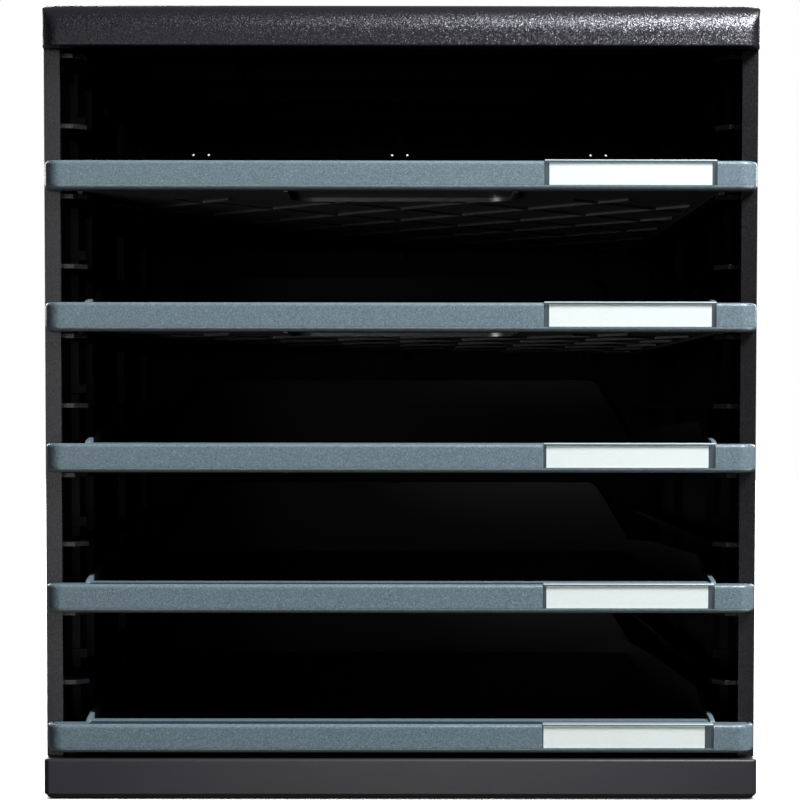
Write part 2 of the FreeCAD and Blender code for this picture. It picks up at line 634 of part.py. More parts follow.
failed = [o.Name for o in doc.Objects if "Invalid" in o.State or "Error" in o.State]
if failed:
    raise RuntimeError("features that failed: " + ", ".join(failed))
for part in parts:
    if part.Shape.isNull() or not part.Shape.isValid() or len(part.Shape.Solids) != 1:
        raise RuntimeError(f"{part.Label} is not one valid solid")

os.makedirs("parts", exist_ok=True)
for part in parts:
    part.Shape.exportStep(f"parts/{part.Label}.step")
    print(f"{part.Label:18s} {part.Shape.Volume / 1000:9.2f} cm3")
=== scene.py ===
# %% [markdown]
# # A letter tray stack with drawers
#
# The object is a desk module for A4 sheets: a casing with an open front, and five shallow trays that slide
# out of it like drawers. FreeCAD has made its pieces at their real size. This file gives them their looks in
# Blender: mouldings whose edges are soft enough to catch the light, and a finish for every surface.
# The shared frame is that of the CAD model, in metres, so nothing has to be fitted afterwards: x points right,
# y from the fronts to the back, and z up from the table.

# %% Load the frame
import json
import math

import bmesh
import bpy
import numpy as np
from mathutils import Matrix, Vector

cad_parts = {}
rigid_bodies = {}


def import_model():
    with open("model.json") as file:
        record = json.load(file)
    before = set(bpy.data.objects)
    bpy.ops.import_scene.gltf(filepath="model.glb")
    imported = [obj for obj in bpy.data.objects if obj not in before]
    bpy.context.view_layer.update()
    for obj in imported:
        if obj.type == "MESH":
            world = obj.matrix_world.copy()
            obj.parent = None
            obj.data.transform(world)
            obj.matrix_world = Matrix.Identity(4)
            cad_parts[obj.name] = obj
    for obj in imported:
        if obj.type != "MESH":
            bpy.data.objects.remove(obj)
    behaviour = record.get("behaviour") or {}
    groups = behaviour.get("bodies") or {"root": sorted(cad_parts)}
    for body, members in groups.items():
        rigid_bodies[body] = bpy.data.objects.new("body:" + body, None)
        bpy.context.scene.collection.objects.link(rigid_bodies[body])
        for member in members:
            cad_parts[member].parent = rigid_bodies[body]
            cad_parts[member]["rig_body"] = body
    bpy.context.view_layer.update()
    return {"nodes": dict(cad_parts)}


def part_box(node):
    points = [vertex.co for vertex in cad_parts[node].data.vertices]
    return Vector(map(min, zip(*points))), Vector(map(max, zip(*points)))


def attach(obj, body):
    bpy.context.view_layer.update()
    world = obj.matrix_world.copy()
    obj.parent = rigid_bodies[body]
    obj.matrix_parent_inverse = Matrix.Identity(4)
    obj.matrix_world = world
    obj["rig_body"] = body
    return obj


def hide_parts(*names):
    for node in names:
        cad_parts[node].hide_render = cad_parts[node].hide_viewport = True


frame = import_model()

# %% [markdown]
# ## The drawer's own frame
#
# Mouldings are easier to think about in millimetres, measured from where they are made. So each drawer is drawn
# with x across, y as the distance behind its front face, and z above the underside of its front bar. One function
# moves such points to the casing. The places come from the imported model, so they follow it if it changes.

# %% From a piece's own millimetres to the shared frame
MM = 0.001
DRAWERS = range(1, 6)  # numbered from the top
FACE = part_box("drawer_front_1")[0].y / MM
FLOORS = {k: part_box(f"drawer_front_{k}")[0].z / MM for k in DRAWERS}


def placed(points, floor=0.0):
    """Points in millimetres behind the drawer fronts and above a floor, moved to the shared frame in metres."""
    return (np.asarray(points, float) + (0, FACE, floor)) * MM


print("front plane at y =", round(FACE, 2), "mm; drawer undersides at", [round(z, 1) for z in FLOORS.values()])

# %% [markdown]
# ## Surfaces from grids
#
# A moulded piece is a smooth skin, so it is worked out as a grid of points: one parameter runs along the piece and
# the other around its section. Pushing and pulling a cube by hand would give the same shape, but a formula keeps
# every radius exact. A grid becomes a shell of quads, and its two open ends are closed with one face each.

# %% Grids and shells
MERGE = 0.002  # millimetres: corners closer than this are one corner


def shell(points, around=True, ends=True):
    """Corners and faces of a grid: row i, column j is joined to row i + 1 and column j + 1 by a quad."""
    rows, columns = points.shape[:2]
    row = np.arange(rows - 1)[:, None] * columns
    here = np.arange(columns if around else columns - 1)[None, :]
    after = (here + 1) % columns
    quads = np.stack([row + here, row + after, row + columns + after, row + columns + here], axis=-1)
    faces = quads.reshape(-1, 4).tolist()
    if ends:
        faces += [list(range(columns)), list(range((rows - 1) * columns, rows * columns))]
    return points.reshape(-1, 3), faces


# %% Pieces that ride on a body
def adopt(made, body, node):
    """A finished piece rides on a body, and may stand for a CAD node, which is then hidden."""
    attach(made, body)
    if node:
        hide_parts(node)
    return made


def piece(name, shells, body, node=None, sharp=35):
    """One object made of closed shells. Doubles are merged and faces turned outwards in each shell by itself,
    and edges sharper than a limit in degrees stay crisp."""
    joined = bmesh.new()
    for corners, faces in shells:
        part = bmesh.new()
        corner = [part.verts.new(place) for place in corners.tolist()]
        for face in faces:
            part.faces.new([corner[index] for index in face])
        bmesh.ops.remove_doubles(part, verts=part.verts, dist=MERGE * MM)
        bmesh.ops.dissolve_degenerate(part, edges=part.edges, dist=MERGE * MM)
        bmesh.ops.recalc_face_normals(part, faces=part.faces)
        whole = bpy.data.meshes.new(name)
        part.to_mesh(whole)
        part.free()
        joined.from_mesh(whole)
        bpy.data.meshes.remove(whole)
    mesh = bpy.data.meshes.new(name)
    joined.to_mesh(mesh)
    joined.free()
    mesh.shade_smooth()
    mesh.set_sharp_from_angle(angle=math.radians(sharp))
    made = bpy.data.objects.new(name, mesh)
    bpy.context.scene.collection.objects.link(made)
    return adopt(made, body, node)


# %% [markdown]
# ## Two curves that every moulding here shares
#
# A mould is cut with round tools, so its corners are quarter circles. Seen from above, a corner is a turn of the
# outline; seen from the side, an edge is a quarter turn of the section. Both come from one function. Next to a
# turn, a flat face gets one more row of points close by: smooth shading then bends only on the narrow strip
# between them, and the flat face looks flat.

# %% Turns
GUARD = 0.4  # millimetres from a turn to the extra row on the flat face next to it


def turn(centre, radii, start, end, steps=8):
    """Points of an ellipse's arc: centre plus the radii times cosine and sine of an angle, in degrees."""
    angle = np.radians(np.linspace(start, end, steps))
    return np.stack([centre[0] + radii[0] * np.cos(angle), centre[1] + radii[1] * np.sin(angle)], axis=-1)


def swept(plan, height):
    """Grid from the plan places of each column and row, and their heights."""
    height = np.broadcast_to(height, plan.shape[:2])
    return np.concatenate([plan, height[..., None]], axis=-1)


# %% [markdown]
# ## The drawer front
#
# The front is a grey-blue moulding: a bar whose ends turn back in a quarter circle, with a shallow channel along
# its top. It could be a box with a Bevel modifier, but the bar has three different radii and a bevel gives one.
# So its section is carried along its outline. Each row of the section is an inset from the outline and a height,
# and the rows meet again on a straight line at the back, where the bar is flat.

# %% Sizes of the drawer front, in millimetres and degrees
BAR_HALF, BAR_HIGH, BAR_DEEP = 144.3, 11.7, 7.5
BAR_CORNER, TOP_ROUND, LOW_ROUND = 7.0, 1.5, 2.3
# the rim in front of the channel, the narrow groove that goes on beyond it, and the channel itself
RIM, GROOVE, CHANNEL, CHANNEL_HALF = 2.0, 0.5, 0.8, 127.0
CHANNEL_FLOOR = BAR_HIGH - CHANNEL
RIM_CHAMFER = 0.2
# the label's seat: its ends, its depth, and the angle on the lower round at which it begins
SEAT_LEFT, SEAT_RIGHT, SEAT_DEEP, SEAT_ANGLE = 57.6, 127.2, 1.2, 192.5


# %% Bar
def bar_shell():
    """Grid of the bar: outline minus its outward direction times the inset of each row, at that row's height.
    Pairs of columns at one place give the label's seat and the channel upright ends. Beyond the channel only a
    narrow groove goes on behind the rim."""
    middle = BAR_HALF - BAR_CORNER
    left = turn((-middle, BAR_CORNER), (BAR_CORNER, BAR_CORNER), 180, 270, 14)
    across = [GUARD - middle, -CHANNEL_HALF, -CHANNEL_HALF, SEAT_LEFT, SEAT_LEFT, CHANNEL_HALF, CHANNEL_HALF,
              SEAT_RIGHT, SEAT_RIGHT, middle - GUARD]
    front = np.stack([across, np.zeros(len(across))], axis=-1)
    points = np.concatenate([[(-BAR_HALF, BAR_DEEP)], left, front, left[::-1] * (-1, 1), [(BAR_HALF, BAR_DEEP)]])
    inward = np.stack([np.clip(points[:, 0], -middle, middle), np.maximum(points[:, 1], BAR_CORNER)], axis=-1)
    outward = (points - inward) / BAR_CORNER
    column = np.arange(len(points)) - 1 - len(left)
    seated = (column > across.index(SEAT_LEFT)) & (column <= across.index(SEAT_RIGHT))
    channelled = (column > across.index(-CHANNEL_HALF)) & (column <= across.index(CHANNEL_HALF))
    low = turn((LOW_ROUND, LOW_ROUND), (LOW_ROUND, LOW_ROUND), 270, SEAT_ANGLE, 7)
    face = turn((LOW_ROUND, LOW_ROUND), (LOW_ROUND, LOW_ROUND), SEAT_ANGLE, 180, 3)
    guards = np.array([(0, LOW_ROUND + GUARD), (0, BAR_HIGH - TOP_ROUND - GUARD)])
    top = turn((TOP_ROUND, BAR_HIGH - TOP_ROUND), (TOP_ROUND, TOP_ROUND), 180, 90)
    rim = np.array([(RIM - RIM_CHAMFER, BAR_HIGH), (RIM, BAR_HIGH - RIM_CHAMFER), (RIM, CHANNEL_FLOOR),
                    (RIM + GROOVE, CHANNEL_FLOOR), (RIM + GROOVE, BAR_HIGH)])
    rows = np.concatenate([low, face, guards, top, rim])
    inset = np.repeat(rows[None, :, 0], len(points), axis=0)
    seat = inset[seated]
    seat[:, len(low):] = np.maximum(seat[:, len(low):], SEAT_DEEP)
    inset[seated] = seat
    plan = points[:, None, :] - outward[:, None, :] * inset[..., None]
    end = BAR_HALF - RIM - GROOVE
    back = np.stack([np.clip(points[:, 0], -end, end), np.full(len(points), BAR_DEEP)], axis=-1)[:, None, :]
    height = np.tile(np.concatenate([[0], rows[:, 1], [BAR_HIGH]]), (len(points), 1))
    height[channelled, -2:] = CHANNEL_FLOOR
    return shell(swept(np.concatenate([back, plan, back], axis=1), height))


# %% [markdown]
# ## The ledge and its horns
#
# Behind the bar, the same moulding runs on as a ledge that closes the front of the tray. At both ends it grows
# into a thin wall, whose top edge rises in a quarter ellipse to meet the tray's own side wall. The ledge is a
# second outline with a section, and each horn is a section with a rounded top that is carried along that curve.

# %% Ledge
LEDGE_HALF, LEDGE_FRONT, LEDGE_BACK, LEDGE_CORNER = 129.3, 9.6, 16.0, 5.0
LEDGE_SKIN, LEDGE_ROUND = 1.6, 0.5
LEDGE_LOW, LEDGE_GAIN = 11.5, 0.4
LEDGE_SLOPE = LEDGE_GAIN / (LEDGE_BACK - LEDGE_FRONT)
TRAY_FLOOR = 3.0


def ledge_top(along):
    """Height of the ledge: it starts just below the bar's top and rises evenly towards the back."""
    return LEDGE_LOW + (along - LEDGE_FRONT) * LEDGE_SLOPE


def ledge_shell():
    """Grid of the ledge: an outline with elliptic rear corners, inset along its outward direction by each row,
    and a slanted top whose height depends on the distance behind the front."""
    across, along = LEDGE_CORNER, LEDGE_BACK - LEDGE_FRONT
    left = turn((across - LEDGE_HALF, LEDGE_FRONT), (across, along), 180, 90, 12)
    points = np.concatenate([left, left[::-1] * (-1, 1)])
    outward = turn((0, 0), (1 / across, 1 / along), 180, 90, 12)
    outward = outward / np.linalg.norm(outward, axis=1, keepdims=True)
    outward = np.concatenate([outward, outward[::-1] * (-1, 1)])
    crest = turn((LEDGE_ROUND, -LEDGE_ROUND), (LEDGE_ROUND, LEDGE_ROUND), 180, 90, 5)
    inset = np.concatenate([[0], crest[:, 0], [LEDGE_ROUND + GUARD]])
    plan = points[:, None, :] - outward[:, None, :] * inset[None, :, None]
    plan[..., 1] = np.maximum(plan[..., 1], LEDGE_FRONT)
    front = np.stack([plan[:, -1, 0], np.full(len(points), LEDGE_FRONT)], axis=-1)[:, None, :]
    inner = points[:, None, :] - outward[:, None, :] * LEDGE_SKIN
    inner[..., 1] = np.maximum(inner[..., 1], LEDGE_FRONT)
    plan = np.concatenate([plan, front, front, inner, inner], axis=1)
    height = ledge_top(plan[..., 1])
    height[:, 0] = TRAY_FLOOR
    height[:, 1:1 + len(crest)] += crest[:, 1]
    height[:, -3:-1] -= LEDGE_SKIN
    height[:, -1] = TRAY_FLOOR
    return shell(swept(plan, height))


# %% Horns
WALL_MIDDLE, WALL_HALF, WALL_ROUND = 128.0, 1.0, 0.3
HORN_FRONT, HORN_START, HORN_CREST, HORN_BACK = 7.2, 8.5, 28.0, 20.0
HORN_LOW, HORN_RISE = 11.6, 2.4
TIP_BACK, TIP_DROP = 0.2, 0.3  # chamfer at the horn's rear end


def horn_shell(side):
    """Grid of a horn: a straight wall whose height follows a quarter ellipse, z = low + rise * sin(a) and
    y = crest - length * cos(a), from the bar up to the place where the tray's own wall takes over."""
    length = HORN_CREST - HORN_START
    angle = math.degrees(math.acos((HORN_BACK - HORN_CREST) / length))
    rise = turn((HORN_CREST, HORN_LOW), (length, HORN_RISE), 180, angle, 14)
    line = np.concatenate([[(HORN_FRONT, HORN_LOW)], rise, [(HORN_BACK, rise[-1, 1] - TIP_DROP)]])
    line[-2, 0] -= TIP_BACK
    along, top = line[:, 0], line[:, 1]
    edge = WALL_HALF - WALL_ROUND
    crown = np.concatenate([turn((-edge, 0), (WALL_ROUND, WALL_ROUND), 180, 90, 4),
                            turn((edge, 0), (WALL_ROUND, WALL_ROUND), 90, 0, 4)])
    across = np.concatenate([[-WALL_HALF], crown[:, 0], [WALL_HALF]]) + side * WALL_MIDDLE
    plan = np.stack(np.broadcast_arrays(across[None, :], along[:, None]), axis=-1)
    height = np.concatenate([np.full((len(along), 1), TRAY_FLOOR), top[:, None] - WALL_ROUND + crown[None, :, 1],
                             np.full((len(along), 1), TRAY_FLOOR)], axis=1)
    return shell(swept(plan, height))


# %% The five fronts
def raised(parts, floor):
    """Shells moved from a drawer's own frame to the shared one."""
    return [(placed(corners, floor), faces) for corners, faces in parts]


fronts = []
for k in DRAWERS:
    parts = [bar_shell(), ledge_shell(), horn_shell(-1), horn_shell(1)]
    fronts.append(piece(f"front_moulding_{k}", raised(parts, FLOORS[k]), f"drawer_{k}",
                        f"drawer_front_{k}"))
print("drawer fronts:", len(fronts), "of", len(fronts[0].data.polygons), "faces")

# %% [markdown]
# ## The label holder
#
# A clear plate sits in a recess of the bar and hooks over its top, and a blank card stands behind it. The plate's
# section is one outline with rounded corners, carried across. Its edges matter most, because that is where clear
# plastic shows: so they get real roundings instead of a bevel.

# %% Rounded section
def rounded(corners, steps=5):
    """Closed outline whose corners are arcs: each arc starts one tangent length before its corner and ends one
    after, and a circle through both is reached by a quadratic curve with the corner as its middle point."""
    places = np.array([corner[:2] for corner in corners], float)
    radii = np.array([corner[2] for corner in corners])[:, None]
    before, after = np.roll(places, 1, axis=0) - places, np.roll(places, -1, axis=0) - places
    start = places + radii * before / np.linalg.norm(before, axis=1, keepdims=True)
    end = places + radii * after / np.linalg.norm(after, axis=1, keepdims=True)
    share = np.linspace(0, 1, steps)[None, :, None]
    bend = 0.414  # how far the arc of a right angle reaches from the chord towards the corner
    middle = (start + end) / 2 + (places - (start + end) / 2) * bend
    weight = 4 * share * (1 - share)
    straight = start[:, None] * (1 - share) + end[:, None] * share
    return (straight + weight * (middle - (start + end) / 2)[:, None]).reshape(-1, 2)


# %% Windows
WINDOW_LEFT, WINDOW_RIGHT = 57.8, 127.0
# corners of the section: distance behind the front face, height, and corner radius
WINDOW_SECTION = [(-0.2, 1.72, 0.3), (0.9, 1.72, 0.15), (0.9, 11.73, 0.1), (4.5, 11.73, 0.1), (4.5, 12.1, 0.15),
                  (-0.2, 12.1, 0.5)]
WINDOW_ELBOW = (0.4, 11.9)  # inside the corner between plate and hook
# near its ends the section is drawn in: distance from the end, and by how much
WINDOW_ENDS = np.array([(0.0, 0.12), (0.1, 0.04), (0.3, 0.0)])


def window_shell():
    """Grid of the holder: its rounded section at each place across, drawn in a little at both ends."""
    section = rounded(WINDOW_SECTION)
    across = np.concatenate([WINDOW_LEFT + WINDOW_ENDS[:, 0], WINDOW_RIGHT - WINDOW_ENDS[::-1, 0]])
    draw = np.concatenate([WINDOW_ENDS[:, 1], WINDOW_ENDS[::-1, 1]])
    step = np.clip(np.array(WINDOW_ELBOW) - section, -1, 1)
    grid = section[None] + draw[:, None, None] * step[None]
    return shell(np.concatenate([np.broadcast_to(across[:, None, None], grid.shape[:2] + (1,)), grid], axis=-1))


# %% Cards, and all label holders
CARD_LEFT, CARD_RIGHT, CARD_LOW, CARD_HIGH = 59.6, 125.2, 2.02, 10.98
CARD_PLACE, CARD_THICK, CARD_BOW = 0.92, 0.2, 0.06
CARD_SHIFT = {1: 0.1, 2: 0.2, 3: -0.7, 4: -0.5, 5: -1.5}  # no two cards lie alike in their holders


def card_shell(shift):
    """Grid of the card: a thin sheet bowed backwards by a parabola across its width, and pushed a little to one
    side in its holder."""
    across = np.linspace(CARD_LEFT, CARD_RIGHT, 15)
    bow = CARD_BOW * (2 * (across - CARD_LEFT) / (CARD_RIGHT - CARD_LEFT) - 1) ** 2
    section = np.array([(0, CARD_LOW), (0, CARD_HIGH), (CARD_THICK, CARD_HIGH), (CARD_THICK, CARD_LOW)])
    along = CARD_PLACE + section[None, :, 0] + bow[:, None]
    grid = np.stack(np.broadcast_arrays(across[:, None] + shift, along, section[None, :, 1]), axis=-1)
    return shell(grid)


windows, cards = [], []
for k in DRAWERS:
    windows.append(piece(f"window_{k}", raised([window_shell()], FLOORS[k]), f"drawer_{k}",
                         f"label_window_{k}"))
    cards.append(piece(f"blank_card_{k}", raised([card_shell(CARD_SHIFT[k])], FLOORS[k]), f"drawer_{k}",
                       f"label_card_{k}"))
print("label holders:", len(windows), "with cards:", len(cards))

# %% [markdown]
# ## The top cover
#
# The cover is an inverted tray with a full, rounded nose. Its edge is a quarter ellipse all round, but a large
# one at the nose and a small one along the sides, and at the corners one flows into the other. A Bevel modifier
# can't change its width along an edge so smoothly. So two rails are drawn, the outline below and the line where
# the flat top begins, and quarter ellipses span them.

# %% Sizes of the cover, in millimetres
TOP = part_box("top_cover")[1].z / MM
SKIRT_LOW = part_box("top_cover")[0].z / MM
COVER_HALF, NOSE, COVER_BACK = 145.0, -1.5, 345.5
NOSE_RADIUS, EDGE_RADIUS, CORNER_RADIUS = 12.0, 2.5, 7.5
COVER_SKIN, NOSE_WALL, REAR_NOTCH = 2.5, 7.0, 2.5
SKIRT_ROUND, TOP_GUARD = 0.6, 1.0
# radii across and along of each rail's front and rear corners
LOW_TURNS = (CORNER_RADIUS, CORNER_RADIUS), (3.5, 3.5)
TOP_TURNS = (4.0, 6.0), (2.0, 2.0)
FLAT_TURNS = (3.5, 5.5), (1.5, 1.5)
INNER_TURNS = (3.0, 3.0), (1.5, 1.5)


# %% Rails of the cover
def rail(half, front, back, front_turn, back_turn, steps=(20, 16, 16, 9)):
    """Closed outline: front line, right front corner, right side, right rear corner, and the same mirrored.
    The turns are the corners' radii across and along. The last place of each half stands twice, so that the rear
    line can be cut off higher than the rest."""
    front_line = np.linspace(0, half - front_turn[0], steps[0])
    near = turn((half - front_turn[0], front + front_turn[1]), front_turn, 270, 360, steps[1])
    side = np.linspace(front + front_turn[1], back - back_turn[1], steps[2])
    far = turn((half - back_turn[0], back - back_turn[1]), back_turn, 0, 90, steps[3])
    right = np.concatenate([np.stack([front_line, np.full(steps[0], front)], axis=-1), near[1:],
                            np.stack([np.full(steps[2], half), side], axis=-1)[1:], far[1:], far[-1:]])
    return np.concatenate([right, right[::-1] * (-1, 1)])[:-1]


# %% Skin of the cover
def cover_shell():
    """Grid of the cover's skin. Outside: plan = low rail + (top rail - low rail) * (1 - cos v) and
    height = top - radius * (1 - sin v), with v from 0 to a quarter turn. Then a foot with a small round, and the
    inner wall up to the ceiling."""
    low_rail = rail(COVER_HALF, NOSE, COVER_BACK, *LOW_TURNS)
    top_rail = rail(COVER_HALF - EDGE_RADIUS, NOSE + NOSE_RADIUS, COVER_BACK - EDGE_RADIUS, *TOP_TURNS)
    flat_rail = rail(COVER_HALF - EDGE_RADIUS - TOP_GUARD, NOSE + NOSE_RADIUS + TOP_GUARD,
                     COVER_BACK - EDGE_RADIUS - TOP_GUARD, *FLAT_TURNS)
    inner_rail = rail(COVER_HALF - COVER_SKIN, NOSE + NOSE_WALL, COVER_BACK - COVER_SKIN, *INNER_TURNS)
    forward = np.clip((NOSE + CORNER_RADIUS - low_rail[:, 1]) / CORNER_RADIUS, 0, 1)
    radius = EDGE_RADIUS + (NOSE_RADIUS - EDGE_RADIUS) * forward ** 2
    quarter = np.radians(np.linspace(0, 90, 15))
    plan = low_rail[:, None] + (top_rail - low_rail)[:, None] * (1 - np.cos(quarter))[None, :, None]
    height = TOP - radius[:, None] * (1 - np.sin(quarter))[None, :]
    inward = inner_rail - low_rail
    inward = inward / np.linalg.norm(inward, axis=1, keepdims=True)
    foot = turn((SKIRT_ROUND, SKIRT_ROUND), (SKIRT_ROUND, SKIRT_ROUND), 270, 180, 5)
    foot_plan = low_rail[:, None] + inward[:, None] * foot[None, :, :1]
    guard = low_rail[:, None]
    count = len(low_rail)
    plan = np.concatenate([np.repeat(inner_rail[:, None], 2, axis=1), foot_plan, guard, guard, plan,
                           flat_rail[:, None]], axis=1)
    skirt = np.full((count, 1), SKIRT_LOW)
    skirt[[count // 2, count // 2 + 1]] += REAR_NOTCH
    height = np.concatenate([np.full((count, 1), TOP - COVER_SKIN), skirt, skirt + foot[:, 1],
                             skirt + SKIRT_ROUND + GUARD, (TOP - radius - GUARD)[:, None], height,
                             np.full((count, 1), TOP)], axis=1)
    grid = swept(plan, height)
    print("cover skin:", grid.shape, "rear line at", low_rail[[count // 2, count // 2 + 1]].round(1).tolist())
    return shell(np.swapaxes(grid, 0, 1), around=True, ends=True)


# %% Ribs of the cover
RIB_DEEP, RIB = 7.5, 2.0
BRACE_REACH = (21, 41)  # from the corner to each brace's ends
SUNK = 0.2  # how far a rib's ends and top sink into the skin


def strip_between(start, end, low, high, width=RIB):
    """Grid of a straight rib from one plan place to another: its four upright edges, at two heights."""
    start, end = np.array(start, float), np.array(end, float)
    side = np.array([end[1] - start[1], start[0] - end[0]]) / np.linalg.norm(end - start) * width / 2
    plan = np.array([start + side, end + side, end - side, start - side])
    return shell(swept(np.repeat(plan[None], 2, axis=0), np.array([[low], [high]], float)))


def cover_ribs():
    """The cover's underside: two long ribs, four cross ribs, and two slanted braces in each front corner."""
    low, high = TOP - COVER_SKIN - RIB_DEEP, TOP - COVER_SKIN + SUNK
    left, front, back = COVER_HALF - COVER_SKIN + SUNK, NOSE + NOSE_WALL - SUNK, COVER_BACK - COVER_SKIN + SUNK
    length = COVER_BACK - NOSE
    ribs = [((x, front), (x, back)) for x in (-COVER_HALF / 2, COVER_HALF / 2)]
    ribs += [((-left, NOSE + length * n / 5), (left, NOSE + length * n / 5)) for n in range(1, 5)]
    ribs += [((side * (left - reach), front), (side * left, front + reach)) for side in (-1, 1)
             for reach in BRACE_REACH]
    return [strip_between(start, end, low, high) for start, end in ribs]


cover = piece("cover_moulding", raised([cover_shell()] + cover_ribs(), 0), "casing", "top_cover")

# %% [markdown]
# ## Feet
#
# Four rubber discs are pressed into the plinth. A disc is a turned piece: a profile with soft edges that is spun
# around its axis. The formula is the profile's radius times the cosine and sine of the angle.


# %% Turned feet
def turned(centre, profile, steps=40):
    """Grid of a turned piece: each profile point's radius times cosine and sine of the angle around the centre."""
    angle = np.linspace(0, 2 * np.pi, steps, endpoint=False)
    profile = np.asarray(profile, float)
    x = centre[0] + profile[:, :1] * np.cos(angle)
    y = centre[1] + profile[:, :1] * np.sin(angle)
    return shell(np.stack([x, y, np.broadcast_to(profile[:, 1:], x.shape)], axis=-1))


FEET = [name for name in frame["nodes"] if name.startswith("foot_")]
SOFT_EDGE = 0.5  # millimetres
DIMPLE = [(2.2, 0.15), (1.6, 0)]  # the sole is hollow: distance from the rim, and depth
for name in FEET:
    low, high = (np.array(corner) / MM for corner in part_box(name))
    radius, thick = (high[0] - low[0]) / 2, high[2] - low[2]
    soft = turn((radius - SOFT_EDGE, SOFT_EDGE), (SOFT_EDGE, SOFT_EDGE), -90, 0, 6)
    sole = [(radius - inset, height) for inset, height in DIMPLE]
    profile = np.concatenate([sole, soft, [(radius, thick)]])
    shells = [turned((low[:2] + high[:2]) / 2, profile + (0, low[2]))]
    shells = [(corners * MM, faces) for corners, faces in shells]
    piece(name + "_pad", shells, "casing", name)
print("feet:", FEET)

# %% [markdown]
# ## Pieces that keep their CAD shape
#
# The side walls, the back, the plinth and the trays are ribbed mouldings whose shape FreeCAD already has exactly.
# What they lack is the small radius that every moulded edge has and that catches the light. So each one is copied,
# its loose triangles are merged into whole faces, and a Bevel modifier rounds the sharp edges. A Weighted Normal
# modifier then lets the large faces decide the shading, so they look flat right up to the bevels.

# %% Softened copies
ONE_FACE = 0.5  # degrees: triangles that bend less than this lie in one face
SHARP_EDGE = 40  # degrees: edges that bend more than this get a bevel


def softened(node, name, width):
    """Copy of a CAD node with merged faces and a small bevel, in millimetres, on its sharp edges."""
    source = frame["nodes"][node]
    work = bmesh.new()
    work.from_mesh(source.data)
    bmesh.ops.remove_doubles(work, verts=work.verts, dist=MERGE / 2 * MM)
    bmesh.ops.dissolve_limit(work, angle_limit=math.radians(ONE_FACE), verts=work.verts, edges=work.edges)
    mesh = bpy.data.meshes.new(name)
    work.to_mesh(mesh)
    work.free()
    mesh.shade_smooth()
    made = bpy.data.objects.new(name, mesh)
    bpy.context.scene.collection.objects.link(made)
    bevel = made.modifiers.new("moulded edges", "BEVEL")
    bevel.width = width * MM
    bevel.segments = 2
    bevel.limit_method = "ANGLE"
    bevel.angle_limit = math.radians(SHARP_EDGE)
    bevel.use_clamp_overlap = True
    flat = made.modifiers.new("flat faces stay flat", "WEIGHTED_NORMAL")
    flat.mode, flat.weight = "FACE_AREA", 100
    adopt(made, source["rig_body"], node)
    print(name, "has", len(mesh.polygons), "faces")
    return made


side_walls = [softened(f"side_panel_{side}", f"side_wall_{side}", 0.3) for side in ("left", "right")]
back = softened("back_panel", "back_wall", 0.2)
plinth = softened("base_plinth", "plinth_moulding", 0.3)
trays = [softened(f"drawer_tray_{k}", f"tray_moulding_{k}", 0.2) for k in DRAWERS]

# %% [markdown]
# ## Finishes
#
# Every surface here is plastic, paper or rubber, and what tells them apart is their colour, their gloss and the
# grain that the mould left on them. A mould's cavity is spark eroded or etched, which leaves fine pits that the
# plastic copies. One function adds a node with its settings and links, and each finish is a short tree of nodes.


# %% Helpers for materials
def paint(code):
    """Linear red, green and blue, with full alpha, of an sRGB hex colour."""
    value = np.array([int(code[i:i + 2], 16) for i in (1, 3, 5)]) / 255
    linear = np.where(value <= 0.04045, value / 12.92, ((value + 0.055) / 1.055) ** 2.4)
    return (*linear.tolist(), 1.0)


def add(tree, kind, inputs=None, **settings):
    """A node of a kind. Settings are its properties; inputs are its sockets, given a value or another's output."""
    made = tree.nodes.new(kind)
    for name, value in settings.items():
        setattr(made, name, value)
    for name, value in (inputs or {}).items():
        if isinstance(value, bpy.types.NodeSocket):
            tree.links.new(value, made.inputs[name])
        else:
            made.inputs[name].default_value = value
    return made


def finish(name):
    """A new material, its tree, its shader and the Object coordinates that its patterns follow."""
    material = bpy.data.materials.new(name)
    material.use_nodes = True
    tree = material.node_tree
    tree.nodes.clear()
    output = add(tree, "ShaderNodeOutputMaterial")
    shader = add(tree, "ShaderNodeBsdfPrincipled")
    tree.links.new(shader.outputs["BSDF"], output.inputs["Surface"])
    place = add(tree, "ShaderNodeTexCoord").outputs["Object"]
    return material, tree, shader, place


def wear(objects, material):
    """Give a material to some objects."""
    for item in objects:
        item.data.materials.clear()
        item.data.materials.append(material)


def per_metre(size):
    """Scale of a noise whose grains are a number of millimetres wide."""
    return 1 / (size * MM)


# %% [markdown]
# ### Mouldings with a grain
#
# The cover's cavity was spark eroded to a coarse grain. Under a lamp each grain flashes by itself, so the
# highlight breaks up into sparkles. A bump alone only ripples the light, so each cell of a Voronoi pattern leans
# its own way like a facet. The grains are drawn at their real 0.3 mm. The other mouldings were etched to a finer,
# softer grain; it is drawn at 0.6 to 0.8 mm, about twice its real size, because a finer one would vanish.


# %% Facets
def tilted(tree, place, grain, tilt):
    """Surface normal of a grain of flat facets: each cell of a Voronoi pattern leans by a fixed amount of its own,
    n + tilt * (2c - 1) with the cell's three values c between 0 and 1, made one unit long again."""
    cells = add(tree, "ShaderNodeTexVoronoi", {"Vector": place, "Scale": per_metre(grain)})
    lean = add(tree, "ShaderNodeVectorMath", {0: cells.outputs["Color"], 1: (2 * tilt,) * 3, 2: (-tilt,) * 3},
               operation="MULTIPLY_ADD")
    surface = add(tree, "ShaderNodeNewGeometry")
    leaning = add(tree, "ShaderNodeVectorMath", {0: surface.outputs["Normal"], 1: lean.outputs["Vector"]})
    return add(tree, "ShaderNodeVectorMath", {0: leaning.outputs["Vector"]}, operation="NORMALIZE").outputs["Vector"]


# %% Grained plastic
PATCH = 40  # millimetres: width of the soft patches of shade


